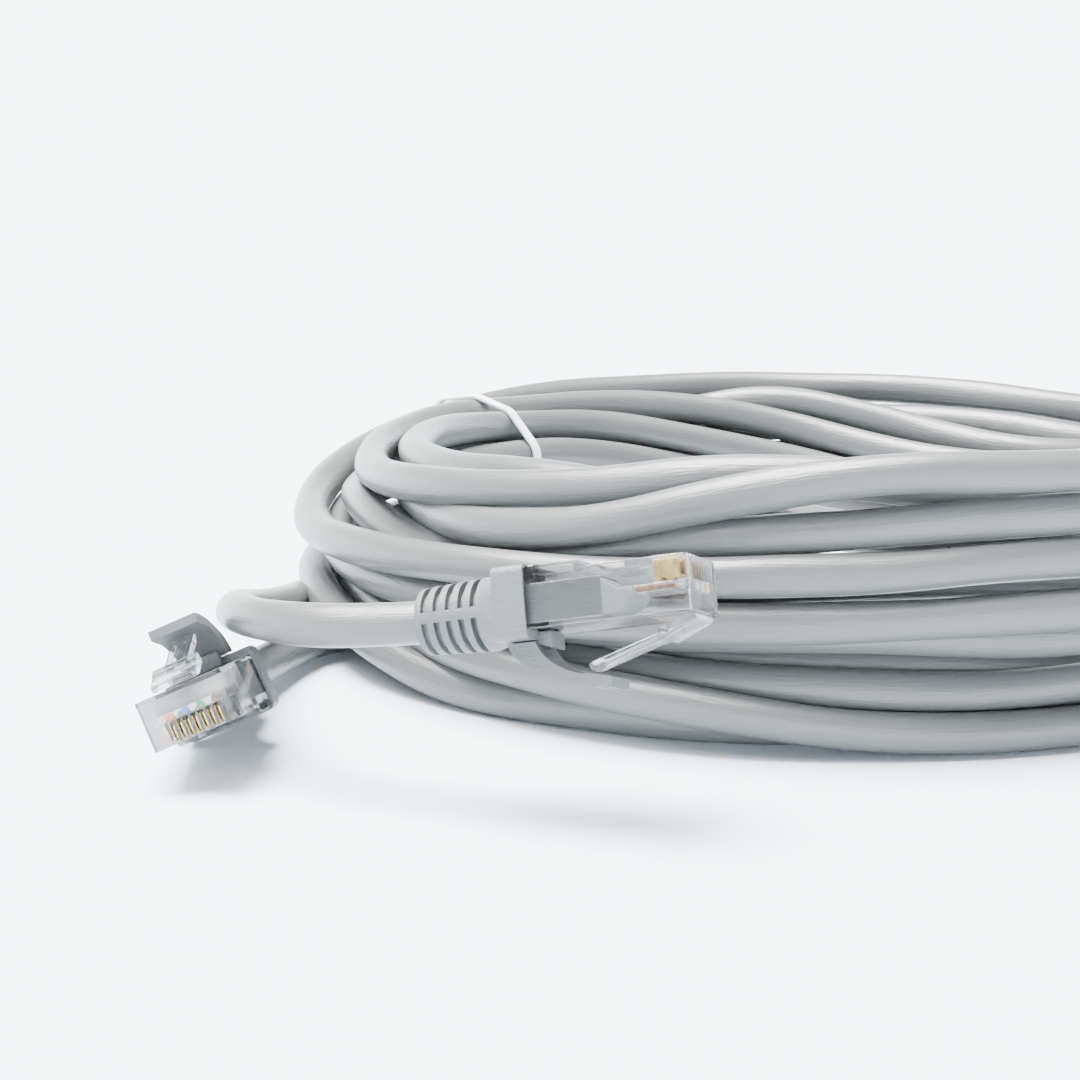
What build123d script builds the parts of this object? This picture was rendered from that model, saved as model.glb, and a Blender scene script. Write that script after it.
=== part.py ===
from build123d import *
from math import tan, radians, pi
import os

# A coiled Ethernet patch cord: a round jacketed cable in a loose coil held by a thin tie, with a
# clear 8-position modular plug and a ribbed snagless boot on each of its two free ends.
# Units are millimetres. +Z is up, the coil lies on the plane Z = 0 and its axis is vertical.

CABLE_DIAMETER = 5.5
CABLE_RADIUS = CABLE_DIAMETER / 2

# Coil: a ring whose top leans down towards the back and the left.
COIL_CENTRE = (5.7, 14.6)
COIL_OUTER_RADIUS = 81.5
COIL_INNER_RADIUS = 57.0
COIL_MEAN_HEIGHT = 33.8
COIL_RISE_TO_RIGHT = 1.0
COIL_FALL_TO_BACK = 6.1
COIL_EDGE_ROUND = 5.0

# Tie: a flat loop around the coil's section.
TIE_AZIMUTH = 140.0
TIE_WIDTH = 1.8
TIE_THICKNESS = 0.9
TIE_CORNER_RADIUS = 4.0

# Plug housing, in the plug's own frame: +X out of the nose, +Z to the contact side, X = 0 at the
# rear of the clear body, Z = 0 halfway up the nose.
BODY_LENGTH = 21.46
BODY_WIDTH = 11.68
NOSE_HALF_HEIGHT = 3.3
PLATEAU_TOP = 4.05
PLATEAU_END = 8.2
PLATEAU_FOOT = 9.5
CAVITY_DEPTH = 10.6
CAVITY_WIDTH = 9.7
CAVITY_BOTTOM = -2.7
CAVITY_TOP = 2.0
NOSE_CORNER_RADIUS = 0.7
REAR_POCKET = (2.6, 7.0)
REAR_POCKET_WIDTH = 6.8
REAR_POCKET_DEPTH = 1.1
FRONT_POCKET = (10.6, 13.6)
FRONT_POCKET_WIDTH = 8.4
FRONT_POCKET_DEPTH = 0.8

CONTACTS = 8
CONTACT_PITCH = 1.02
CONTACT_THICKNESS = 0.35
CONTACT_REAR = 16.9
CONTACT_FRONT = 20.1
CONTACT_TOP = 3.05
CONTACT_BEVEL = 0.5
CONTACT_NOTCH = 0.7
SLOT_WIDTH = 0.6
SLOT_REAR = 16.7

WIRE_DIAMETER = 0.95
WIRE_HEIGHT = -0.15
WIRE_FRONT = 19.5
WIRE_PLAY = 0.03

# Latch: hinged at the nose, in XZ.
LATCH_HINGE = (20.9, -3.95)
LATCH_KNUCKLE_RADIUS = 0.45
LATCH_SHOULDER_WIDTH = 6.2
LATCH_TAIL_WIDTH = 3.25
LATCH_SHOULDER = [(20.9, -3.5), (21.3, -4.0), (20.9, -4.4), (18.7, -5.4), (16.9, -6.2), (16.3, -5.2),
                  (16.6, -4.7), (20.2, -3.65)]
LATCH_TAIL = [(17.2, -4.75), (17.2, -5.8), (8.5, -8.4), (7.5, -8.65), (7.1, -7.9), (7.6, -7.6)]
LATCH_GROOVE = [(15.6, -4.0), (15.6, -5.6), (8.7, -7.7), (8.7, -6.0)]
LATCH_GROOVE_WIDTH = 1.7

# Boot: collar around the rear of the body, dome, ribbed tail, and a fill inside the body.
COLLAR_REAR = -2.6
COLLAR_FRONT = 1.4
COLLAR_WIDTH = 12.6
COLLAR_BOTTOM = -4.4
COLLAR_TOP = 4.4
COLLAR_CORNER_RADIUS = 1.0
DOME_FRONT_WIDTH = 11.6
DOME_FRONT_HEIGHT = 8.2
DOME_FRONT_CORNER = 3.0
CABLE_AXIS_HEIGHT = -0.4
TAIL_REAR = -13.8
TAIL_FRONT = -4.9
TAIL_REAR_RADIUS = 4.05
TAIL_FRONT_RADIUS = 4.5
TAIL_EDGE_RADIUS = 0.7
BORE_PLAY = 0.05
BORE_END = -0.5
RIBS = 5
RIB_PITCH = 1.63
FIRST_RIB_SLOT = -12.4
RIB_SLOT_WIDTH = 0.75
RIB_SLOT_FLOOR_RADIUS = 3.35
RIB_WEB_HEIGHT = 1.3
FILL_PLAY = 0.05

# Tongue of the boot: a bent flap that covers the latch's tail, in XZ.
TONGUE_HINGE = (0.9, -5.05)
TONGUE_WIDTH = 6.5
TONGUE_ROOT_TOP = -4.6
TONGUE_OUTER = [(-2.3, TONGUE_ROOT_TOP), (-1.9, -5.5), (-0.8, -6.9), (1.65, -8.4), (4.1, -9.6),
                (6.5, -10.35), (8.9, -10.9), (10.3, -11.0)]
TONGUE_INNER = [(10.5, -9.75), (8.8, -9.35), (6.0, -8.8), (3.6, -7.6), (2.2, -6.3), (1.3, TONGUE_ROOT_TOP)]
TONGUE_GRIPS = 3
TONGUE_GRIP_PITCH = 0.8
TONGUE_GRIP_RADIUS = 0.35
TONGUE_FIRST_GRIP = (9.6, -11.05)

# Larger than anything it cuts.
WELL_CLEAR = 60.0

# Where the two plugs lie: the body's rear centre, the nose's direction and the contact side's.
PLUG_POSES = {
    "a": ((-38.3, -83.4, 24.9), (0.933, -0.304, 0.192), (-0.078, 0.349, 0.934)),
    "b": ((-79.1, -57.4, 6.8), (-0.069, -0.982, 0.174), (0.399, -0.187, -0.898)),
}

# Routes of the two free ends, from the boot to the coil. The first point is the boot's own rear.
LEAD_ROUTES = {
    "a": [(-57.3, -77.4, 21.1), (-64.6, -74.4, 20.3), (-70.6, -69.0, 19.4), (-74.9, -62.0, 18.4),
          (-77.0, -53.7, 17.0), (-78.6, -44.2, 15.0), (-78.4, -33.7, 12.6), (-76.3, -23.2, 10.3),
          (-73.9, -13.2, 8.7), (-71.6, -4.2, 7.9)],
    "b": [(-77.3, -37.6, 4.4), (-75.0, -30.8, 4.0), (-71.6, -23.0, 3.6), (-67.2, -16.0, 3.2)],
}


def prism(points, width):
    """A closed outline in XZ, drawn out by width across Y, centred on Y = 0."""
    outline = Plane.XZ * make_face(Polyline(*points, close=True))
    return extrude(outline, width / 2, both=True)


def block(low, high):
    size = [b - a for a, b in zip(low, high)]
    middle = [(a + b) / 2 for a, b in zip(low, high)]
    return Pos(*middle) * Box(*size)


def rod_along_x(start, end, radius, y, z):
    return Pos((start + end) / 2, y, z) * Rot(0, 90, 0) * Cylinder(radius, end - start)


def contact_offset(number):
    """Y of contact or wire 1 to 8; number 1 is on the +Y side."""
    return CONTACT_PITCH * ((CONTACTS + 1) / 2 - number)


def pocket(span, width, face_height, depth):
    """A shallow rectangular recess in the body's contact side, as a cutter."""
    start, end = span
    return block((start, -width / 2, face_height - depth), (end, width / 2, face_height + 1))


def make_housing():
    outline = [(0, -NOSE_HALF_HEIGHT), (BODY_LENGTH, -NOSE_HALF_HEIGHT), (BODY_LENGTH, NOSE_HALF_HEIGHT),
               (PLATEAU_FOOT, NOSE_HALF_HEIGHT), (PLATEAU_END, PLATEAU_TOP), (0, PLATEAU_TOP)]
    body = prism(outline, BODY_WIDTH)
    nose_edges = body.edges().filter_by(Axis.Z).group_by(Axis.X)[-1]
    body = fillet(nose_edges, NOSE_CORNER_RADIUS)
    cavity = block((-1, -CAVITY_WIDTH / 2, CAVITY_BOTTOM), (CAVITY_DEPTH, CAVITY_WIDTH / 2, CAVITY_TOP))
    wire_row = (CONTACTS - 1) * CONTACT_PITCH / 2 + WIRE_DIAMETER / 2 + WIRE_PLAY
    wire_room = WIRE_DIAMETER / 2 + WIRE_PLAY
    channel = block((CAVITY_DEPTH - 1, -wire_row, WIRE_HEIGHT - wire_room),
                    (WIRE_FRONT + WIRE_PLAY, wire_row, WIRE_HEIGHT + wire_room))
    body = body - cavity - channel
    body = body - pocket(REAR_POCKET, REAR_POCKET_WIDTH, PLATEAU_TOP, REAR_POCKET_DEPTH)
    body = body - pocket(FRONT_POCKET, FRONT_POCKET_WIDTH, NOSE_HALF_HEIGHT, FRONT_POCKET_DEPTH)
    for number in range(1, CONTACTS + 1):
        y = contact_offset(number)
        slot = block((SLOT_REAR, y - SLOT_WIDTH / 2, WIRE_HEIGHT),
                     (BODY_LENGTH + 1, y + SLOT_WIDTH / 2, NOSE_HALF_HEIGHT + 1))
        lip = block((WIRE_FRONT, y - SLOT_WIDTH, WIRE_HEIGHT - 1),
                    (BODY_LENGTH + 1, y + SLOT_WIDTH, WIRE_HEIGHT + wire_room))
        body = body - (slot - lip)
    return body


def make_contact(number):
    """A stamped blade with its rolled front corner up and two points towards the wire."""
    bottom = WIRE_HEIGHT + WIRE_DIAMETER / 2 + WIRE_PLAY
    length = CONTACT_FRONT - CONTACT_REAR
    notch = bottom + CONTACT_NOTCH
    outline = [(CONTACT_REAR, CONTACT_TOP), (CONTACT_REAR, notch), (CONTACT_REAR + length / 8, bottom),
               (CONTACT_REAR + length / 3, notch), (CONTACT_REAR + length * 3 / 5, bottom),
               (CONTACT_FRONT, notch), (CONTACT_FRONT, CONTACT_TOP - CONTACT_BEVEL),
               (CONTACT_FRONT - CONTACT_BEVEL, CONTACT_TOP)]
    return Pos(0, contact_offset(number), 0) * prism(outline, CONTACT_THICKNESS)


def make_wire(number):
    return rod_along_x(CAVITY_DEPTH, WIRE_FRONT, WIRE_DIAMETER / 2, contact_offset(number), WIRE_HEIGHT)


def make_latch():
    shoulder = prism(LATCH_SHOULDER, LATCH_SHOULDER_WIDTH)
    tail = prism(LATCH_TAIL, LATCH_TAIL_WIDTH)
    knuckle = Pos(LATCH_HINGE[0], 0, LATCH_HINGE[1]) * Rot(90, 0, 0) * Cylinder(
        LATCH_KNUCKLE_RADIUS, LATCH_SHOULDER_WIDTH)
    return shoulder + tail + knuckle - prism(LATCH_GROOVE, LATCH_GROOVE_WIDTH)


def make_boot():
    collar = block((COLLAR_REAR, -COLLAR_WIDTH / 2, COLLAR_BOTTOM),
                   (COLLAR_FRONT, COLLAR_WIDTH / 2, COLLAR_TOP))
    collar = fillet(collar.edges().filter_by(Axis.X), COLLAR_CORNER_RADIUS)
    rear_plane = Plane(origin=(TAIL_FRONT, 0, CABLE_AXIS_HEIGHT), x_dir=(0, 1, 0), z_dir=(1, 0, 0))
    front_plane = Plane(origin=(COLLAR_REAR, 0, (COLLAR_TOP + COLLAR_BOTTOM) / 2), x_dir=(0, 1, 0),
                        z_dir=(1, 0, 0))
    front_face = RectangleRounded(DOME_FRONT_WIDTH, DOME_FRONT_HEIGHT, DOME_FRONT_CORNER)
    dome = loft([rear_plane * Circle(TAIL_FRONT_RADIUS), front_plane * front_face])
    tail_length = TAIL_FRONT - TAIL_REAR
    tail_middle = (TAIL_FRONT + TAIL_REAR) / 2
    tail = Pos(tail_middle, 0, CABLE_AXIS_HEIGHT) * Rot(0, 90, 0) * Cone(
        TAIL_REAR_RADIUS, TAIL_FRONT_RADIUS, tail_length)
    tail = fillet(tail.edges().group_by(Axis.X)[0], TAIL_EDGE_RADIUS)
    for number in range(RIBS):
        x = FIRST_RIB_SLOT + RIB_PITCH * number
        ring = rod_along_x(x - RIB_SLOT_WIDTH / 2, x + RIB_SLOT_WIDTH / 2, TAIL_FRONT_RADIUS + 1, 0,
                           CABLE_AXIS_HEIGHT)
        core = rod_along_x(x - RIB_SLOT_WIDTH, x + RIB_SLOT_WIDTH, RIB_SLOT_FLOOR_RADIUS, 0,
                           CABLE_AXIS_HEIGHT)
        web = block((x - RIB_SLOT_WIDTH, -COLLAR_WIDTH, CABLE_AXIS_HEIGHT - RIB_WEB_HEIGHT / 2),
                    (x + RIB_SLOT_WIDTH, COLLAR_WIDTH, CABLE_AXIS_HEIGHT + RIB_WEB_HEIGHT / 2))
        tail = tail - (ring - core - web)
    body_room = block((0, -BODY_WIDTH / 2, -NOSE_HALF_HEIGHT), (5, BODY_WIDTH / 2, PLATEAU_TOP))
    fill = block((BORE_END, -CAVITY_WIDTH / 2 + FILL_PLAY, CAVITY_BOTTOM + FILL_PLAY),
                 (CAVITY_DEPTH, CAVITY_WIDTH / 2 - FILL_PLAY, CAVITY_TOP - FILL_PLAY))
    bore = rod_along_x(TAIL_REAR - 1, BORE_END, CABLE_RADIUS + BORE_PLAY, 0, CABLE_AXIS_HEIGHT)
    return (collar + dome + tail - body_room) + fill - bore


def make_tongue():
    outer = Spline(*TONGUE_OUTER)
    inner = Spline(*TONGUE_INNER)
    tip = Line(TONGUE_OUTER[-1], TONGUE_INNER[0])
    root = Line(TONGUE_INNER[-1], TONGUE_OUTER[0])
    outline = Plane.XZ * make_face([outer, tip, inner, root])
    tongue = extrude(outline, TONGUE_WIDTH / 2, both=True)
    for number in range(TONGUE_GRIPS):
        x = TONGUE_FIRST_GRIP[0] - TONGUE_GRIP_PITCH * number
        groove = Cylinder(TONGUE_GRIP_RADIUS, TONGUE_WIDTH + 1)
        tongue = tongue - Pos(x, 0, TONGUE_FIRST_GRIP[1]) * Rot(90, 0, 0) * groove
    return tongue


def make_jacket_end():
    return rod_along_x(TAIL_REAR, BORE_END, CABLE_RADIUS, 0, CABLE_AXIS_HEIGHT)


def plug_plane(name):
    """The plane whose X runs out of the nose and whose Z points to the contact side."""
    origin, nose, contact_side = PLUG_POSES[name]
    nose = Vector(*nose).normalized()
    contact_side = Vector(*contact_side)
    contact_side = contact_side - nose * contact_side.dot(nose)
    return Plane(origin=origin, x_dir=nose, z_dir=contact_side.normalized())


def make_plug_pieces(name):
    pieces = {
        f"plug_{name}_housing": make_housing(),
        f"plug_{name}_latch": make_latch(),
        f"boot_{name}": make_boot(),
        f"boot_{name}_tongue": make_tongue(),
        f"jacket_end_{name}": make_jacket_end(),
    }
    for number in range(1, CONTACTS + 1):
        pieces[f"plug_{name}_contact_{number}"] = make_contact(number)
        pieces[f"plug_{name}_wire_{number}"] = make_wire(number)
    place = plug_plane(name).location
    return {node: place * piece for node, piece in pieces.items()}


def corner_radii(points):
    """The largest arc that each corner's two runs allow, 0.45 of the shorter run each side."""
    radii = []
    for before, corner, after in zip(points, points[1:], points[2:]):
        turn = (corner - before).get_angle(after - corner)
        shorter = min((corner - before).length, (after - corner).length)
        radii.append(0.45 * shorter / tan(radians(turn / 2)))
    return radii


def make_lead(name):
    plane = plug_plane(name)
    start = plane.from_local_coords(Vector(TAIL_REAR, 0, CABLE_AXIS_HEIGHT))
    points = [start] + [Vector(*point) for point in LEAD_ROUTES[name]]
    radii = corner_radii(points)
    path = FilletPolyline(*points, radius=radii)
    section = Plane(origin=path @ 0, z_dir=path % 0) * Circle(CABLE_RADIUS)
    tube = sweep(section, path=path)
    expected = pi * CABLE_RADIUS ** 2 * path.length
    print(f"lead_{name}: length {path.length:.1f} mm, radii", [round(radius, 1) for radius in radii],
          f"volume {tube.volume:.0f} of {expected:.0f} mm3")
    return tube


def tilted_top():
    """Everything above the coil's leaning top."""
    reach = COIL_OUTER_RADIUS
    normal = Vector(-COIL_RISE_TO_RIGHT / reach, COIL_FALL_TO_BACK / reach, 1)
    plane = Plane(origin=(*COIL_CENTRE, COIL_MEAN_HEIGHT), z_dir=normal)
    return extrude(plane * Circle(reach + WELL_CLEAR), WELL_CLEAR)


def make_tie():
    """A band around the ring's section, standing off it by nothing but its own thickness."""
    low = COIL_INNER_RADIUS - TIE_THICKNESS
    high = COIL_OUTER_RADIUS + TIE_THICKNESS / 2
    direction = Vector(1, 0, 0).rotate(Axis.Z, TIE_AZIMUTH)
    side = (COIL_RISE_TO_RIGHT * direction.X - COIL_FALL_TO_BACK * direction.Y) / COIL_OUTER_RADIUS
    top_in = COIL_MEAN_HEIGHT + side * low + TIE_THICKNESS
    top_out = COIL_MEAN_HEIGHT + side * high + TIE_THICKNESS
    outline = Polyline((low, 0), (high, 0), (high, top_out), (low, top_in), close=True)
    face = make_face(outline)
    face = fillet(face.vertices(), TIE_CORNER_RADIUS)
    band_face = face - offset(face, -TIE_THICKNESS)
    band = extrude(Plane.XZ * band_face, TIE_WIDTH / 2, both=True)
    return Pos(*COIL_CENTRE, 0) * Rot(0, 0, TIE_AZIMUTH) * band


def make_coil(tie):
    ring = Cylinder(COIL_OUTER_RADIUS, WELL_CLEAR) - Cylinder(COIL_INNER_RADIUS, WELL_CLEAR)
    ring = Pos(*COIL_CENTRE, WELL_CLEAR / 2) * ring - tilted_top()
    rims = [edge for edge in ring.edges() if edge.length > 4 * COIL_INNER_RADIUS]
    ring = fillet(rims, COIL_EDGE_ROUND)
    return ring - tie


def make_all():
    tie = make_tie()
    pieces = {"coil": make_coil(tie), "tie": tie}
    for name in PLUG_POSES:
        pieces[f"lead_{name}"] = make_lead(name)
        pieces.update(make_plug_pieces(name))
    return pieces


def print_hinges():
    for name in PLUG_POSES:
        plane = plug_plane(name)
        across = plane.y_dir
        for piece, (x, z) in (("latch", LATCH_HINGE), ("tongue", TONGUE_HINGE)):
            place = plane.from_local_coords(Vector(x, 0, z))
            print(f"hinge {name} {piece}:", [round(v, 3) for v in place], [round(v, 5) for v in across])
        for label, x in (("nose", BODY_LENGTH), ("rear", 0)):
            place = plane.from_local_coords(Vector(x, 0, 0))
            print(f"{label} {name}:", [round(v, 3) for v in place], [round(v, 5) for v in plane.x_dir])


os.makedirs("parts", exist_ok=True)
model = make_all()
for node, piece in model.items():
    export_step(piece, f"parts/{node}.step")
box = Compound(children=list(model.values())).bounding_box()
print("box", box.min, box.max, "centre", box.center())
print_hinges()
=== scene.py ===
from math import cos, sin, pi, radians, hypot
import bpy
import bmesh
from mathutils import Vector, Matrix, noise, geometry


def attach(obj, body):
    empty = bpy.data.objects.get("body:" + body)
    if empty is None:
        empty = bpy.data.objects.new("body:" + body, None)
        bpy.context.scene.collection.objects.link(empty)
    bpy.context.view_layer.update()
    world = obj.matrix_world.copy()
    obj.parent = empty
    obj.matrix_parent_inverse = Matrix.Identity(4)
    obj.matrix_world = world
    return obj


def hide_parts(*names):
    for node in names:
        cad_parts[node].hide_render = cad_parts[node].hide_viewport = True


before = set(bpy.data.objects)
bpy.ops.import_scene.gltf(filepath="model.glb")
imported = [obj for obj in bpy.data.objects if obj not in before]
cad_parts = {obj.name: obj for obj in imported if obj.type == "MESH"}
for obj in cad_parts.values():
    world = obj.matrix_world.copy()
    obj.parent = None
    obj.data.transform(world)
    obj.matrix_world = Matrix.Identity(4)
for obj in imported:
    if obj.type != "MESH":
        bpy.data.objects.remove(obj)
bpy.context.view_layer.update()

# Places and sizes below are in millimetres, and MM turns them into the frame's metres. The cord's
# length, the floor, the lights and the materials are in metres, and the named angles are in degrees.
MM = 0.001

# ---------------------------------------------------------------- the cord's facts

CABLE_DIAMETER = 5.5
CABLE_RADIUS = CABLE_DIAMETER / 2
COIL_CENTRE = (5.7, 14.6)

# The free end from plug A's boot to the coil. It passes over the other end and goes under the turns.
LEAD_A = [(-51.15, -79.33, 21.88), (-57.3, -77.4, 21.1), (-64.6, -74.4, 20.3), (-70.6, -69.0, 19.4),
          (-74.9, -62.0, 18.4), (-77.0, -53.7, 17.0), (-78.6, -44.2, 15.0), (-78.4, -33.7, 12.6),
          (-76.6, -23.2, 10.3), (-74.7, -13.2, 8.6)]

# The free end from the coil to plug B's boot, through the coil's middle and under its turns.
LEAD_B = [(-31.4, -38.0, 4.6), (-36.3, -28.0, 3.2), (-39.0, -17.5, 2.8), (-43.5, -8.0, 2.75),
          (-51.5, -2.6, 2.75), (-60.8, -3.0, 2.75), (-68.2, -9.0, 2.8), (-72.8, -18.5, 3.2),
          (-75.6, -28.5, 3.8), (-77.4, -37.6, 4.4), (-78.31, -43.77, 4.76)]

# Each turn of the coil as (azimuth, radius, height) about the coil's centre. Azimuth runs from the
# front right (290) by the front (270), the left (180) and the back (90) to the right (0), and goes
# on below zero to where the next turn begins. The turns are named by where they lie at the front.
TURNS = [
    ("first", [(190, 80.9, 4.6), (178, 79.6, 2.9), (139, 78.5, 2.75), (90, 78.5, 2.75), (50, 78.5, 2.75),
               (0, 78.7, 2.75), (-35, 78.6, 2.75)]),
    ("low_outer", [(290, 78.5, 2.75), (272, 78.5, 3), (263, 78.8, 4.5), (254, 79.3, 6), (244, 79, 7),
                   (232, 78.5, 7.6), (222, 77, 8.2), (212, 74.8, 8.9), (200, 73, 9), (185, 73, 7.6),
                   (165, 73, 4.2), (139, 73, 2.75), (90, 73, 2.75), (50, 73, 2.75), (0, 73.1, 2.75),
                   (-35, 73, 2.75)]),
    ("low_behind", [(290, 73, 2.75), (265, 73.2, 2.75), (250, 75, 2.75), (235, 76, 2.75), (222, 77.8, 2.9),
                    (212, 79, 5.5), (204, 79.2, 8.2), (192, 79.2, 9), (180, 78.8, 8.7), (160, 78.6, 8.5),
                    (139, 78.2, 8.3), (115, 78, 8.2), (90, 78, 8.2), (50, 78, 8.2), (25, 77.5, 8),
                    (0, 76, 7.5), (-35, 75.3, 7)]),
    ("low_second", [(290, 75.2, 6.9), (273, 76, 7.8), (260, 75.3, 8.3), (247, 73.5, 8.3), (232, 71.9, 8.6),
                    (215, 69.5, 8.6), (200, 67.5, 8.9), (185, 66.5, 7), (165, 66, 4.4), (139, 66.5, 3.2),
                    (115, 67, 2.75), (90, 67.4, 2.75), (50, 67.4, 2.75), (25, 67.4, 2.8), (0, 68.3, 5.5),
                    (-35, 71, 12)]),
    ("hidden", [(290, 71.6, 21.3), (272, 71.8, 21.5), (257, 71.8, 20.8), (245, 69.4, 16.9),
                (235, 66.8, 12.6), (225, 65, 11.2), (205, 63.8, 10.8), (190, 63.4, 10.6), (165, 63, 10.6),
                (139, 63.2, 11.4), (115, 63.8, 9.6), (90, 65.8, 8.6), (50, 67.3, 8.3), (25, 68.5, 8.8),
                (0, 71, 10.5), (-35, 72.3, 14)]),
    ("recessed", [(290, 73.6, 13.8), (277, 73.6, 15.2), (262, 73.4, 15.4), (245, 74.2, 13.7),
                  (225, 72, 12.9), (205, 69.8, 12.9), (190, 69.3, 12.4), (165, 70, 11), (139, 71, 9.8),
                  (115, 71.8, 11.3), (100, 71.3, 12.6), (90, 71.2, 13.8), (75, 71.6, 13.5),
                  (63, 72.2, 11.6), (50, 72.8, 9.5), (25, 75.5, 12), (0, 77.5, 15.5), (-35, 78, 18)]),
    ("middle", [(290, 78, 19.2), (272, 78, 18.4), (257, 78.5, 17.5), (237, 79, 16.2), (218, 76.5, 15.2),
                (205, 75.3, 14.2), (190, 74.8, 13), (175, 75.4, 15.2), (165, 75.5, 15.9), (150, 75.7, 15.8),
                (139, 76, 14.9), (120, 76, 14.2), (105, 74.5, 15), (97, 73.4, 17.2), (88, 73.4, 19.2),
                (77, 74.6, 20.6), (63, 73.9, 21), (50, 74.1, 20.6), (25, 74.2, 20), (0, 72.5, 21),
                (-35, 69, 24.5)]),
    ("top_inner", [(290, 65.6, 25.8), (270, 66, 26.5), (262, 66, 27.8), (255, 66, 29.6), (248, 65.9, 31),
                   (223, 65, 31), (209, 64, 29.2), (202, 63.8, 28.5), (192, 63.3, 28), (183, 62.8, 27.2),
                   (173, 63.3, 26.3), (165, 63.8, 26.1), (157, 64, 25.6), (148, 64.5, 24.5),
                   (139, 65.3, 23), (131, 65.8, 22.6), (119, 65.6, 21.2), (107, 62.8, 18.6),
                   (97, 60.9, 16.4), (76, 60.8, 11.4), (50, 62.2, 8.3), (25, 66, 10.5), (0, 71.5, 14.5),
                   (-35, 77, 19.9)]),
    ("upper_middle", [(290, 77.5, 25.3), (272, 78, 24.5), (263, 78.2, 24.2), (257, 78.4, 23.8),
                      (239, 78.5, 21.6), (218, 79, 20), (201, 79, 18), (190, 79.2, 17.4), (182, 79.2, 17.3),
                      (175, 79, 18.4), (168, 78.8, 19.8), (160, 78.6, 20.9), (150, 78, 22.4),
                      (142, 77.5, 23.5), (128, 77, 25), (115, 76.8, 25.2), (90, 77.2, 24.9), (71, 77, 24.7),
                      (56, 76.7, 24.3), (45, 76.3, 23.6), (25, 76.3, 24.5), (0, 77, 27), (-35, 76.4, 29)]),
    ("upper_outer", [(290, 76, 30.8), (272, 76, 29.8), (257, 76, 27.9), (249, 74.4, 26.3),
                     (238, 71.3, 22.9), (225, 70.5, 20), (213, 70.3, 18.3), (205, 70.6, 20.9),
                     (195, 71.4, 20.9), (188, 72.2, 20.6), (175, 72.2, 19.8), (157, 72.2, 19.5),
                     (139, 73, 19.3), (120, 74.8, 18.9), (105, 74, 20.5), (97, 72.8, 22.9),
                     (88, 70.2, 24.4), (77, 67.6, 21.7), (63, 66.6, 18.8), (50, 66.2, 17), (25, 65.3, 21.2),
                     (0, 67, 26), (-35, 68.5, 30.4)]),
    ("top_middle", [(290, 70.5, 31.6), (274, 70.4, 34.3), (258, 70.5, 35.9), (246, 71, 33.1),
                    (231, 71.5, 30.3), (222, 71.8, 29.2), (212, 71.5, 27.7), (201, 70.3, 26),
                    (191, 70, 25.5), (182, 69.7, 24.9), (175, 69.7, 24.9), (167, 70, 25.2),
                    (157, 70.5, 25.3), (139, 71.5, 24.6), (133, 72, 23.8), (115, 70.3, 23.6), (105, 69, 23),
                    (97, 67.6, 21.6), (87, 66.2, 19.1), (76, 62.9, 16.6), (63, 61.4, 14.8),
                    (50, 60.8, 14.5), (25, 60.2, 20.5), (0, 62.5, 29), (-20, 67, 33.5), (-35, 72, 35)]),
    ("top_outer", [(290, 76, 35.8), (277, 76, 36.6), (270, 76, 36.5), (263, 76, 35.2), (255, 76, 32.6),
                   (247, 76, 29), (238, 76, 26.4), (225, 75, 24.6), (213, 70, 23.4), (206, 67, 22.9),
                   (198, 65.2, 22.1), (190, 64.5, 21.2), (165, 62, 20), (141, 60.6, 19), (131, 60.4, 18.4),
                   (115, 60.4, 15.3), (90, 60.2, 9.2), (70, 61.2, 4.4), (50, 61.9, 2.85), (25, 62.3, 3),
                   (0, 65.4, 4), (-35, 67, 6.5)]),
    ("last", [(290, 70, 9), (272, 70.8, 10.3), (257, 69.6, 10.5), (246, 68.1, 10.3), (240, 66.8, 9.3)]),
]

# The coil's control points lie every STATION_STEP, from FIRST_AZIMUTH on the first turn to LAST_AZIMUTH
# on the last.
STATION_STEP = 15
FIRST_AZIMUTH = 180
LAST_AZIMUTH = 240

# Where the free end to plug B passes under the turns: the crossing's middle, how far from it the turns
# start to rise, and the length of that rise. A turn outside CROSSING_RADIUS isn't lifted.
CROSSING_AZIMUTH = 197.5
CROSSING_REACH = 16.8
CROSSING_RAMP = 7.875
CROSSING_RADIUS = 80.2
CROSSING_GAP = 0.1

# How the turns settle: the rounds, the share of them in which each turn is drawn back to its stations
# and in which its shift is evened out along the cable, and how strongly each is done in a round.
SETTLE_ROUNDS = 160
DRAWN_SHARE = 0.7
EVENED_SHARE = 0.85
DRAW_BACK = 0.06
EVEN_OUT = 0.25
TURN_SPACING = CABLE_DIAMETER * 1.02
LEAST_DISTANCE = 0.01

# ---------------------------------------------------------------- the cord's route


def turn_stations():
    """All turns on one list of (unrolled azimuth, radius, height), azimuth falling all the way."""
    stations = []
    for number, (place_at_front, places) in enumerate(TURNS):
        for azimuth, radius, height in places:
            stations.append((azimuth - 360 * number, radius, height))
    return stations


def smooth_value(stations, azimuth):
    """Radius and height at an unrolled azimuth, by a Hermite curve through the stations."""
    index = 0
    while index < len(stations) - 2 and stations[index + 1][0] > azimuth:
        index += 1
    a0, *v0 = stations[index]
    a1, *v1 = stations[index + 1]
    before = stations[max(index - 1, 0)]
    after = stations[min(index + 2, len(stations) - 1)]
    t = (azimuth - a0) / (a1 - a0)
    values = []
    for k in (0, 1):
        slope0 = (v1[k] - before[k + 1]) / (a1 - before[0])
        slope1 = (after[k + 1] - v0[k]) / (after[0] - a0)
        span = a1 - a0
        values.append((2 * t ** 3 - 3 * t ** 2 + 1) * v0[k] + (t ** 3 - 2 * t ** 2 + t) * span * slope0
                      + (3 * t ** 2 - 2 * t ** 3) * v1[k] + (t ** 3 - t ** 2) * span * slope1)
    return values


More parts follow.
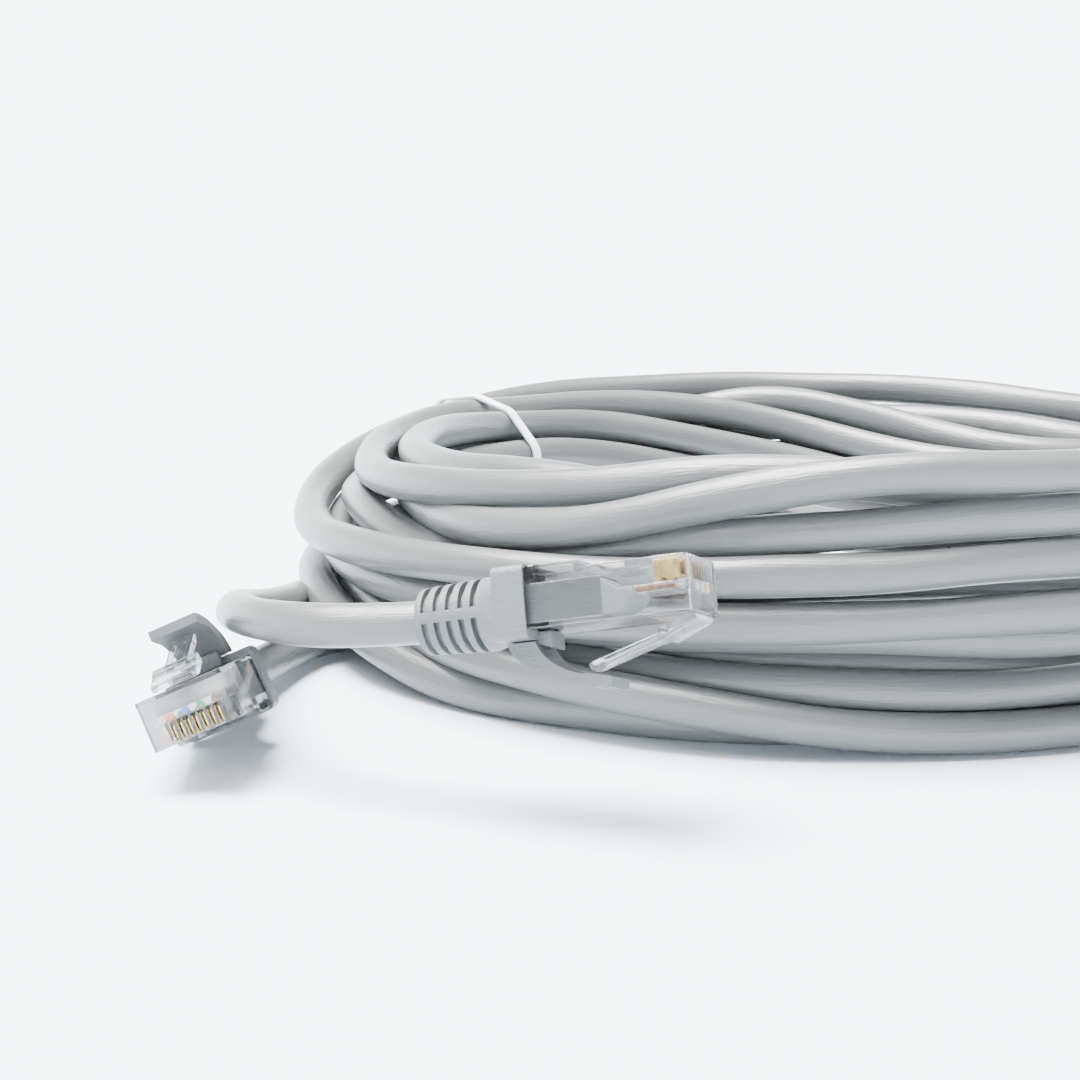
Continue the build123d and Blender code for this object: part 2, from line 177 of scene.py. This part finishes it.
def lowest_height(azimuth, radius):
    """The height that a turn's centre keeps: on the floor, or on the free end that passes under it."""
    away = abs(azimuth - CROSSING_AZIMUTH)
    if away >= CROSSING_REACH or radius > CROSSING_RADIUS:
        return CABLE_RADIUS
    lift = CABLE_DIAMETER + CROSSING_GAP
    blend = min(1, (CROSSING_REACH - away) / CROSSING_RAMP)
    return CABLE_RADIUS + lift * blend * blend * (3 - 2 * blend)


def draw_back(turns, wanted):
    """Move each place a little towards where its stations put it."""
    for place, want in zip(turns, wanted):
        place[1] += DRAW_BACK * (want[0] - place[1])
        place[2] += DRAW_BACK * (want[1] - place[2])


def even_out(turns, wanted):
    """Bring each place's shift from its stations nearer to the shifts before and after it."""
    moved = [(place[1] - want[0], place[2] - want[1]) for place, want in zip(turns, wanted)]
    for index in range(1, len(turns) - 1):
        for k in (0, 1):
            middle = (moved[index - 1][k] + moved[index + 1][k]) / 2
            turns[index][k + 1] += EVEN_OUT * (middle - moved[index][k])


def push_apart(places):
    """Move any two places of one section away from each other until they are TURN_SPACING apart."""
    for index, one in enumerate(places):
        for two in places[index + 1:]:
            across = two[1] - one[1]
            up = two[2] - one[2]
            distance = hypot(across, up)
            if distance < TURN_SPACING:
                push = 0.5 * (TURN_SPACING - distance) / max(distance, LEAST_DISTANCE)
                one[1] -= push * across
                one[2] -= push * up
                two[1] += push * across
                two[2] += push * up


def settle(turns):
    """Let the turns find room for each other and for what lies under them.

    turns is the list of [unrolled azimuth, radius, height] every STATION_STEP degrees. All the
    places at the same azimuth form one section through the bundle, and are moved within it.
    """
    wanted = [(radius, height) for azimuth, radius, height in turns]
    sections = {}
    for place in turns:
        sections.setdefault(place[0] % 360, []).append(place)
    for round_number in range(SETTLE_ROUNDS):
        if round_number < SETTLE_ROUNDS * DRAWN_SHARE:
            draw_back(turns, wanted)
        if round_number < SETTLE_ROUNDS * EVENED_SHARE:
            even_out(turns, wanted)
        for azimuth, places in sections.items():
            push_apart(places)
            for place in places:
                place[2] = max(place[2], lowest_height(azimuth, place[1]))


def coil_points():
    """The coil's control points in millimetres, settled, from the first turn to the last."""
    stations = turn_stations()
    last = LAST_AZIMUTH - 360 * (len(TURNS) - 1)
    count = (FIRST_AZIMUTH - last) // STATION_STEP
    turns = []
    for number in range(count + 1):
        azimuth = FIRST_AZIMUTH - STATION_STEP * number
        turns.append([azimuth] + smooth_value(stations, azimuth))
    settle(turns)
    return [(COIL_CENTRE[0] + radius * cos(radians(azimuth)),
             COIL_CENTRE[1] + radius * sin(radians(azimuth)), height) for azimuth, radius, height in turns]


def cord_route():
    """The cord's control points from plug A's boot to plug B's boot, in metres."""
    return [Vector(point) * MM for point in LEAD_A + coil_points() + LEAD_B]


def spline_curve(name, points, resolution=8):
    """A curve object with one open quadratic NURBS spline that has the points as its control points."""
    curve = bpy.data.curves.new(name, "CURVE")
    curve.dimensions = "3D"
    curve.resolution_u = resolution
    spline = curve.splines.new("NURBS")
    spline.points.add(len(points) - 1)
    for point, place in zip(spline.points, points):
        point.co = (*place, 1)
    spline.order_u = 3
    spline.use_endpoint_u = True
    piece = bpy.data.objects.new(name, curve)
    bpy.context.scene.collection.objects.link(piece)
    return piece


def points_along(curve_object):
    """The points of a curve's own line, read from the mesh that it makes with no bevel."""
    bpy.context.view_layer.update()
    depsgraph = bpy.context.evaluated_depsgraph_get()
    mesh = bpy.data.meshes.new_from_object(curve_object.evaluated_get(depsgraph))
    points = [vertex.co.copy() for vertex in mesh.vertices]
    bpy.data.meshes.remove(mesh)
    return points


# ---------------------------------------------------------------- colours and lights

JACKET_COLOUR = (0.102, 0.108, 0.108)
JACKET_SHADE = (0.088, 0.094, 0.094)
BOOT_COLOUR = (0.094, 0.100, 0.103)
BOOT_SHADE = (0.078, 0.084, 0.087)
FILL_COLOUR = (0.185, 0.195, 0.2)
FILL_SHADE = (0.15, 0.159, 0.163)
CLEAR_COLOUR = (0.94, 0.96, 0.97)
CLEAR_ALPHA = 0.8
GOLD_COLOUR = (0.62, 0.44, 0.18)
GOLD_DARK = (0.44, 0.29, 0.10)
GOLD_LIGHT = (0.74, 0.55, 0.26)
TIE_COLOUR = (0.82, 0.84, 0.86)
TIE_SHADE = (0.72, 0.74, 0.76)
FLOOR_COLOUR = (0.60, 0.655, 0.71)
WORLD_COLOUR = (1.0, 0.98, 0.98)
WORLD_STRENGTH = 0.35
SUN_COLOUR = (1.0, 0.99, 0.97)
SUN_STRENGTH = 34
SUN_SPREAD = 40
SUN_PLACE = (-0.3, 0.24, 1.3)
SPARK_POWER = 8
SPARK_PLACE = (-0.5, -0.25, 0.75)
SPARK_SIZE = (0.25, 0.5)

# ---------------------------------------------------------------- materials


def new_material(name, colour, roughness):
    """A material with one Principled shader, which the other functions add to."""
    material = bpy.data.materials.new(name)
    material.use_nodes = True
    shader = material.node_tree.nodes["Principled BSDF"]
    shader.inputs["Base Color"].default_value = (*colour, 1)
    shader.inputs["Roughness"].default_value = roughness
    return material


def add_noise(material, scale, detail=4, stretch=(1, 1, 1), space="Object"):
    """A noise texture in the frame's own metres, and its factor's socket."""
    nodes = material.node_tree.nodes
    links = material.node_tree.links
    place = nodes.new("ShaderNodeTexCoord")
    mapping = nodes.new("ShaderNodeMapping")
    mapping.inputs["Scale"].default_value = stretch
    links.new(place.outputs[space], mapping.inputs["Vector"])
    texture = nodes.new("ShaderNodeTexNoise")
    texture.inputs["Scale"].default_value = scale
    texture.inputs["Detail"].default_value = detail
    links.new(mapping.outputs["Vector"], texture.inputs["Vector"])
    return texture.outputs["Fac"]


def add_ramp(material, factor, low, high, start=0.3, end=0.7):
    """A colour ramp between two colours or two greys, and its colour socket."""
    ramp = material.node_tree.nodes.new("ShaderNodeValToRGB")
    for element, position, value in zip(ramp.color_ramp.elements, (start, end), (low, high)):
        element.position = position
        element.color = (*value, 1) if isinstance(value, tuple) else (value, value, value, 1)
    material.node_tree.links.new(factor, ramp.inputs["Fac"])
    return ramp.outputs["Color"]


def add_bump(material, height, distance, strength=1.0):
    """A bump of a distance in metres, from a height's socket."""
    bump = material.node_tree.nodes.new("ShaderNodeBump")
    bump.inputs["Strength"].default_value = strength
    bump.inputs["Distance"].default_value = distance
    links = material.node_tree.links
    links.new(height, bump.inputs["Height"])
    links.new(bump.outputs["Normal"], material.node_tree.nodes["Principled BSDF"].inputs["Normal"])


def set_input(material, name, socket):
    """Link a socket to one of the shader's inputs."""
    material.node_tree.links.new(socket, material.node_tree.nodes["Principled BSDF"].inputs[name])


def moulded(name, dark, light, roughness, grain=0.00009, grain_scale=2400):
    """A moulded or extruded plastic: slow colour drift, patchy gloss and a fine grain."""
    material = new_material(name, light, roughness)
    drift = add_noise(material, scale=55, detail=5)
    set_input(material, "Base Color", add_ramp(material, drift, dark, light))
    gloss = add_noise(material, scale=240, detail=3)
    set_input(material, "Roughness", add_ramp(material, gloss, roughness - 0.06, roughness + 0.08))
    add_bump(material, add_noise(material, scale=grain_scale, detail=2), distance=grain)
    return material


def jacket_material():
    """Extruded PVC: satin, with faint streaks along the cable from the extruder's die."""
    material = new_material("jacket_grey", JACKET_COLOUR, roughness=0.4)
    drift = add_noise(material, scale=24, detail=2)
    colour = add_ramp(material, drift, JACKET_SHADE, JACKET_COLOUR, start=0.2, end=0.8)
    set_input(material, "Base Color", colour)
    gloss = add_noise(material, scale=120, detail=2)
    set_input(material, "Roughness", add_ramp(material, gloss, 0.27, 0.35, start=0.2, end=0.8))
    streaks = add_noise(material, scale=9, detail=6, stretch=(0.35, 6, 1), space="UV")
    add_bump(material, streaks, distance=0.00009)
    return material


def clear_material():
    """Clear polycarbonate, with slight waves and patches in its polish."""
    material = new_material("clear_polycarbonate", CLEAR_COLOUR, roughness=0.05)
    shader = material.node_tree.nodes["Principled BSDF"]
    shader.inputs["Transmission Weight"].default_value = 1.0
    shader.inputs["IOR"].default_value = 1.5
    shader.inputs["Alpha"].default_value = CLEAR_ALPHA
    gloss = add_noise(material, scale=300, detail=3)
    set_input(material, "Roughness", add_ramp(material, gloss, 0.015, 0.05))
    add_bump(material, add_noise(material, scale=700, detail=2), distance=0.00002, strength=0.5)
    return material


def gold_material():
    """Thin gold plating, with drift in its colour and fine scratches along the contact."""
    material = new_material("contact_gold", GOLD_COLOUR, roughness=0.22)
    material.node_tree.nodes["Principled BSDF"].inputs["Metallic"].default_value = 1.0
    drift = add_noise(material, scale=700, detail=4)
    set_input(material, "Base Color", add_ramp(material, drift, GOLD_DARK, GOLD_LIGHT))
    scratches = add_noise(material, scale=1500, detail=3, stretch=(1, 1, 0.1))
    set_input(material, "Roughness", add_ramp(material, scratches, 0.16, 0.34))
    return material


# ---------------------------------------------------------------- camera, floor and light

CAMERA_PLACE = (-37.3, -375.2, 95.0)
CAMERA_PITCH = 78
CAMERA_LENS = 83.73
CAMERA_SENSOR = 36

# The floor in metres: its flat part's radius, and its rim's width and rise.
FLOOR_REACH = 6
FLOOR_SIDES = 64
RIM_WIDTH = 6
RIM_RISE = 4
RIM_RINGS = 8


def make_camera():
    """A camera at the photograph's viewing angle, on the side of the two plugs."""
    data = bpy.data.cameras.new("camera")
    data.lens = CAMERA_LENS
    data.sensor_width = CAMERA_SENSOR
    data.clip_start = 0.01
    camera = bpy.data.objects.new("camera", data)
    camera.location = Vector(CAMERA_PLACE) * MM
    camera.rotation_euler = (radians(CAMERA_PITCH), 0, 0)
    bpy.context.scene.collection.objects.link(camera)
    bpy.context.scene.camera = camera


def make_floor():
    """A wide round floor whose rim rises a little, so that no edge of it shows against the sky."""
    rings = [(FLOOR_REACH, 0.0)]
    for step in range(1, RIM_RINGS + 1):
        share = step / RIM_RINGS
        rings.append((FLOOR_REACH + RIM_WIDTH * share, RIM_RISE * share ** 2))
    vertices = []
    for radius, height in rings:
        for k in range(FLOOR_SIDES):
            angle = 2 * pi * k / FLOOR_SIDES
            vertices.append((radius * cos(angle), radius * sin(angle), height))
    faces = []
    for inner in range(0, FLOOR_SIDES * RIM_RINGS, FLOOR_SIDES):
        outer = inner + FLOOR_SIDES
        for k in range(FLOOR_SIDES):
            after = (k + 1) % FLOOR_SIDES
            faces.append((outer + k, outer + after, inner + after, inner + k))
    faces.append(tuple(range(FLOOR_SIDES)))
    mesh = bpy.data.meshes.new("floor")
    mesh.from_pydata(vertices, [], faces)
    floor_object = bpy.data.objects.new("floor", mesh)
    bpy.context.scene.collection.objects.link(floor_object)
    mesh.materials.append(new_material("floor_white", FLOOR_COLOUR, roughness=0.7))


def make_light(name, kind, place, power, colour=(1, 1, 1)):
    """A light at a place in metres that points at the coil's middle."""
    data = bpy.data.lights.new(name, kind)
    data.energy = power
    data.color = colour
    light = bpy.data.objects.new(name, data)
    light.location = place
    aim = Vector((0, 0, 0)) - Vector(place)
    light.rotation_euler = aim.to_track_quat("-Z", "Y").to_euler()
    bpy.context.scene.collection.objects.link(light)
    return data


def make_lights():
    """Plain soft studio light: an even sky, a wide softbox above and a small one at the left."""
    world = bpy.data.worlds.new("studio")
    bpy.context.scene.world = world
    world.use_nodes = True
    background = world.node_tree.nodes["Background"]
    background.inputs["Color"].default_value = (*WORLD_COLOUR, 1)
    background.inputs["Strength"].default_value = WORLD_STRENGTH
    sun = make_light("softbox_above", "SUN", SUN_PLACE, SUN_STRENGTH, SUN_COLOUR)
    sun.angle = radians(SUN_SPREAD)
    spark = make_light("softbox_left", "AREA", SPARK_PLACE, SPARK_POWER)
    spark.shape = "RECTANGLE"
    spark.size, spark.size_y = SPARK_SIZE


# ---------------------------------------------------------------- mesh helpers

# How a CAD node's mesh is cleaned: the weld's distance, the angle under which two faces are one flat
# face, and the angle over which their edge is rounded.
WELD_DISTANCE = 0.002
FLAT_ANGLE = 0.6
EDGE_ANGLE = 35
# A swept mesh's map runs MAP_SCALE along for each metre of its line, and 1 round.
MAP_SCALE = 100


def link_piece(name, mesh, body, replaced, material):
    """A piece that rides on a body, takes a material and stands for the CAD nodes in replaced."""
    piece = bpy.data.objects.new(name, mesh)
    bpy.context.scene.collection.objects.link(piece)
    mesh.materials.clear()
    mesh.materials.append(material)
    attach(piece, body)
    if replaced:
        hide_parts(*replaced)
    return piece


def smooth_shade(mesh, angle=30):
    """Smooth shading, with edges sharper than an angle in degrees kept sharp."""
    mesh.polygons.foreach_set("use_smooth", [True] * len(mesh.polygons))
    mesh.set_sharp_from_angle(angle=radians(angle))


def recoloured(node_name, material):
    """A CAD node that stays as it is, with its own material."""
    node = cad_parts[node_name]
    node.data.materials.clear()
    node.data.materials.append(material)
    return node


def refined(name, nodes, body, material, edge, segments=3):
    """A piece with the CAD nodes' shape, welded, with its edges rounded to the radius edge (mm)."""
    work = bmesh.new()
    for node in nodes:
        work.from_mesh(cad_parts[node].data)
    bmesh.ops.remove_doubles(work, verts=work.verts, dist=WELD_DISTANCE * MM)
    bmesh.ops.dissolve_limit(work, angle_limit=radians(FLAT_ANGLE), verts=work.verts, edges=work.edges)
    mesh = bpy.data.meshes.new(name)
    work.to_mesh(mesh)
    work.free()
    smooth_shade(mesh)
    piece = link_piece(name, mesh, body, nodes, material)
    bevel = piece.modifiers.new("edge_rounds", "BEVEL")
    bevel.width = edge * MM
    bevel.segments = segments
    bevel.limit_method = "ANGLE"
    bevel.angle_limit = radians(EDGE_ANGLE)
    bevel.harden_normals = True
    return piece


def line_tangents(points, closed):
    """The direction of the line at each of its points."""
    last = len(points) - 1
    tangents = []
    for index in range(len(points)):
        before = points[index - 1] if closed or index else points[0]
        after = points[index + 1] if index < last else points[0 if closed else last]
        tangents.append((after - before).normalized())
    return tangents


def sweep_mesh(name, points, outline, closed=False):
    """A mesh that sweeps rings along points; outline(distance) gives a ring's (across, up) places.

    The ring's frame is carried along the line without twisting. Each face gets a map of distance
    along by way round, in the map named "along".
    """
    count = len(points)
    tangents = line_tangents(points, closed)
    side = tangents[0].cross(Vector((0, 0, 1)))
    if side.length < 0.1:
        side = tangents[0].cross(Vector((1, 0, 0)))
    side.normalize()
    vertices = []
    distances = [0.0]
    for index, point in enumerate(points):
        if index:
            distances.append(distances[-1] + (point - points[index - 1]).length)
        side = (side - tangents[index] * side.dot(tangents[index])).normalized()
        up = side.cross(tangents[index])
        ring = outline(distances[index])
        vertices += [point + side * across + up * rise for across, rise in ring]
    distances.append(distances[-1] + (points[0] - points[-1]).length)
    sides = len(ring)
    faces = []
    marks = []
    for index in range(count if closed else count - 1):
        start, end = distances[index:index + 2]
        here = index * sides
        following = (index + 1) % count * sides
        for k in range(sides):
            after = (k + 1) % sides
            faces.append((here + k, here + after, following + after, following + k))
            marks += [(start, k / sides), (start, (k + 1) / sides), (end, (k + 1) / sides), (end, k / sides)]
    if not closed:
        faces.append(tuple(reversed(range(sides))))
        faces.append(tuple(range(len(vertices) - sides, len(vertices))))
        marks += [(0.0, 0.0)] * (2 * sides)
    mesh = bpy.data.meshes.new(name)
    mesh.from_pydata(vertices, [], faces)
    layer = mesh.uv_layers.new(name="along")
    for loop, (distance, turn) in zip(layer.data, marks):
        loop.uv = (distance * MAP_SCALE, turn)
    mesh.update()
    smooth_shade(mesh, angle=50)
    return mesh


# ---------------------------------------------------------------- the two plugs

# Where each plug lies: the rear centre of its body (mm), the way its nose points, and the way its
# contacts face. In a plug's own frame +X is out of the nose and +Z is the contacts' side.
PLUG_POSES = {
    "a": ((-38.3, -83.4, 24.9), (0.933, -0.304, 0.192), (-0.078, 0.349, 0.934)),
    "b": ((-79.1, -57.4, 6.8), (-0.069, -0.982, 0.174), (0.399, -0.187, -0.898)),
}


def plug_matrix(name):
    """From a plug's own frame in millimetres to the frame in metres."""
    origin, nose, contact_side = [Vector(values) for values in PLUG_POSES[name]]
    nose.normalize()
    contact_side -= nose * contact_side.dot(nose)
    contact_side.normalize()
    across = contact_side.cross(nose)
    turn = Matrix((nose, across, contact_side)).transposed().to_4x4()
    return Matrix.Translation(origin * MM) @ turn @ Matrix.Scale(MM, 4)


def profile_piece(name, plug, outline, width, body, material, edge):
    """A flat outline in the plug's XZ plane, given a width across Y and rounded edges."""
    work = bmesh.new()
    near = [work.verts.new((x, -width / 2, z)) for x, z in outline]
    far = [work.verts.new((x, width / 2, z)) for x, z in outline]
    work.faces.new(near)
    work.faces.new(list(reversed(far)))
    for index in range(len(outline)):
        after = (index + 1) % len(outline)
        work.faces.new((near[after], near[index], far[index], far[after]))
    bmesh.ops.recalc_face_normals(work, faces=work.faces)
    bmesh.ops.bevel(work, geom=work.edges[:], offset=edge, segments=3, profile=0.5, affect="EDGES",
                    clamp_overlap=True)
    work.transform(plug_matrix(plug))
    mesh = bpy.data.meshes.new(name)
    work.to_mesh(mesh)
    work.free()
    smooth_shade(mesh)
    return link_piece(name, mesh, body, [], material)


# The boot's block under the clear body, in front of the collar, in XZ.
STOP_OUTLINE = [(0.9, -3.36), (3.0, -3.36), (3.1, -5.5), (2.6, -5.4), (1.8, -5.1), (0.9, -4.8)]
STOP_WIDTH = 4.6
# The fill's ragged front, which follows the cores into the body, in XZ.
FILL_OUTLINE = [(10.4, -2.6), (12.2, -2.5), (13.6, -1.9), (14.4, -0.9), (14.7, -0.2), (14.2, 0.35),
                (12.6, 0.2), (11.8, 0.75), (11.0, 1.4), (10.4, 1.9)]
FILL_WIDTH = 9.58

CORE_COLOURS = {
    1: ("white_orange", (0.80, 0.80, 0.78), (0.75, 0.22, 0.03)),
    2: ("orange", (0.75, 0.22, 0.03), (0.80, 0.28, 0.05)),
    3: ("white_green", (0.80, 0.80, 0.78), (0.05, 0.30, 0.12)),
    4: ("blue", (0.03, 0.10, 0.42), (0.05, 0.14, 0.50)),
    5: ("white_blue", (0.80, 0.80, 0.78), (0.03, 0.10, 0.42)),
    6: ("green", (0.03, 0.24, 0.10), (0.06, 0.32, 0.14)),
    7: ("white_brown", (0.80, 0.80, 0.78), (0.14, 0.06, 0.03)),
    8: ("brown", (0.10, 0.045, 0.025), (0.15, 0.07, 0.04)),
}


def core_material(name, colour, mark):
    """A core's insulation, with bands of its mark's colour."""
    material = new_material("core_" + name, colour, roughness=0.3)
    bands = add_noise(material, scale=420, detail=1)
    set_input(material, "Base Color", add_ramp(material, bands, colour, mark, start=0.5, end=0.56))
    gloss = add_noise(material, scale=900, detail=2)
    set_input(material, "Roughness", add_ramp(material, gloss, 0.22, 0.42))
    return material


def make_plug(name):
    """All the visible pieces of one plug and its boot; returns those that ride on the cord."""
    contacts = [f"plug_{name}_contact_{number}" for number in CORE_COLOURS]
    cord_pieces = [
        refined(f"housing_{name}", [f"plug_{name}_housing"], "cord", clear,
                edge=0.13, segments=2),
        refined(f"boot_{name}_body", [f"boot_{name}"], "cord", boot_grey, edge=0.28),
        refined(f"contacts_{name}", contacts, "cord", gold, edge=0.05, segments=2),
        profile_piece(f"boot_{name}_stop", name, STOP_OUTLINE, STOP_WIDTH, "cord", boot_grey,
                      edge=0.25),
        profile_piece(f"boot_{name}_fill_front", name, FILL_OUTLINE, FILL_WIDTH, "cord", fill_grey,
                      edge=0.15),
    ]
    refined(f"latch_{name}_strip", [f"plug_{name}_latch"], f"latch_{name}", clear, edge=0.16)
    refined(f"tongue_{name}_flap", [f"boot_{name}_tongue"], f"tongue_{name}", boot_grey, edge=0.3)
    for number, core in cores.items():
        cord_pieces.append(recoloured(f"plug_{name}_wire_{number}", core))
    cord_pieces.append(recoloured(f"jacket_end_{name}", jacket))
    return cord_pieces


# ---------------------------------------------------------------- the tie

TIE_AZIMUTH = 140
TIE_GAP = 0.12
TIE_HALF_WIDTH = 0.85
TIE_HALF_THICKNESS = 0.4
TIE_SPACING = 0.7
TIE_SIDES = 16
# The power that squares off the tie's section: 1 would make it an ellipse.
TIE_SQUARENESS = 0.6
HULL_SIDES = 48


def section_of(points, azimuth):
    """Where a line in metres crosses the half plane at an azimuth: (radius, height) in millimetres."""
    direction = Vector((cos(radians(azimuth)), sin(radians(azimuth))))
    normal = Vector((-direction.y, direction.x))
    centre = Vector(COIL_CENTRE) * MM
    crossings = []
    for one, two in zip(points, points[1:]):
        before = (one.xy - centre).dot(normal)
        after = (two.xy - centre).dot(normal)
        if before * after < 0:
            place = one.lerp(two, before / (before - after))
            radius = (place.xy - centre).dot(direction)
            if radius > 0:
                crossings.append((radius / MM, place.z / MM))
    return crossings


def tie_line(points):
    """The closed line of the tie's middle around all the turns, in metres."""
    stand_off = CABLE_RADIUS + TIE_GAP + TIE_HALF_THICKNESS
    around = []
    for radius, height in section_of(points, TIE_AZIMUTH):
        for k in range(HULL_SIDES):
            angle = 2 * pi * k / HULL_SIDES
            around.append(Vector((radius + stand_off * cos(angle), height + stand_off * sin(angle))))
    hull = [around[k] for k in geometry.convex_hull_2d(around)]
    places = []
    for one, two in zip(hull, hull[1:] + hull[:1]):
        parts = max(1, round((two - one).length / TIE_SPACING))
        places += [one.lerp(two, k / parts) for k in range(parts)]
    direction = Vector((cos(radians(TIE_AZIMUTH)), sin(radians(TIE_AZIMUTH)), 0))
    base = Vector((*COIL_CENTRE, 0))
    line = []
    for place in places:
        rise = Vector((0, 0, max(place.y, TIE_HALF_THICKNESS)))
        line.append((base + direction * place.x + rise) * MM)
    return line


def squared_off(value):
    """A sine or cosine pushed out towards 1 or -1, which makes a ring's section nearly a rectangle."""
    return abs(value) ** TIE_SQUARENESS * (1 if value > 0 else -1)


def tie_outline(distance):
    """A ring of the tie: a flat strip with rounded edges, the same all the way round."""
    ring = []
    for k in range(TIE_SIDES):
        angle = 2 * pi * k / TIE_SIDES
        across = TIE_HALF_WIDTH * MM * squared_off(cos(angle))
        rise = TIE_HALF_THICKNESS * MM * squared_off(sin(angle))
        ring.append((across, rise))
    return ring


def make_tie(points):
    """The thin white strip round all the turns at TIE_AZIMUTH."""
    mesh = sweep_mesh("tie_strap", tie_line(points), tie_outline, closed=True)
    return link_piece("tie_strap", mesh, "cord", ["tie"], tie_white)


# ---------------------------------------------------------------- the cable

CABLE_SIDES = 28
# The jacket stays this much inside the nominal radius before its lobes and swells are added.
JACKET_INSET = 0.04
LOBE_HEIGHT = 0.07
LOBE_PITCH = 38.0
SWELL_HEIGHT = 0.13
SWELL_LENGTH = 17.0
SWELL_ROUND = 0.8


def rest_on_floor(mesh):
    """Flatten what swells below the floor, as a soft jacket does where it lies."""
    for vertex in mesh.vertices:
        vertex.co.z = max(vertex.co.z, 0)


def cable_outline(distance):
    """A ring of the jacket: nearly round, swelling a little over the twisted pairs inside it."""
    along = distance / MM
    ring = []
    for k in range(CABLE_SIDES):
        angle = 2 * pi * k / CABLE_SIDES
        lobe = LOBE_HEIGHT * cos(2 * angle - 2 * pi * along / LOBE_PITCH)
        swell_place = (along / SWELL_LENGTH, SWELL_ROUND * cos(angle), SWELL_ROUND * sin(angle))
        swell = SWELL_HEIGHT * noise.noise(swell_place)
        radius = (CABLE_RADIUS - JACKET_INSET + lobe + swell) * MM
        ring.append((radius * cos(angle), radius * sin(angle)))
    return ring


# ---------------------------------------------------------------- the scene

make_camera()
make_floor()
make_lights()

jacket = jacket_material()
clear = clear_material()
gold = gold_material()
boot_grey = moulded("boot_grey", BOOT_SHADE, BOOT_COLOUR, roughness=0.52, grain=0.00013, grain_scale=3000)
fill_grey = moulded("fill_grey", FILL_SHADE, FILL_COLOUR, roughness=0.5, grain=0.00012, grain_scale=900)
tie_white = moulded("tie_white", TIE_SHADE, TIE_COLOUR, roughness=0.34)
cores = {number: core_material(*colours) for number, colours in CORE_COLOURS.items()}

route = cord_route()
line = spline_curve("cable_line", route)
centreline = points_along(line)
bpy.data.objects.remove(line)
tie = make_tie(centreline)
make_plug("a")
plug_b_pieces = make_plug("b")
tube = sweep_mesh("cable", centreline, cable_outline)
rest_on_floor(tube)
cable = link_piece("cable", tube, "cord", ["coil", "lead_a", "lead_b"], jacket)
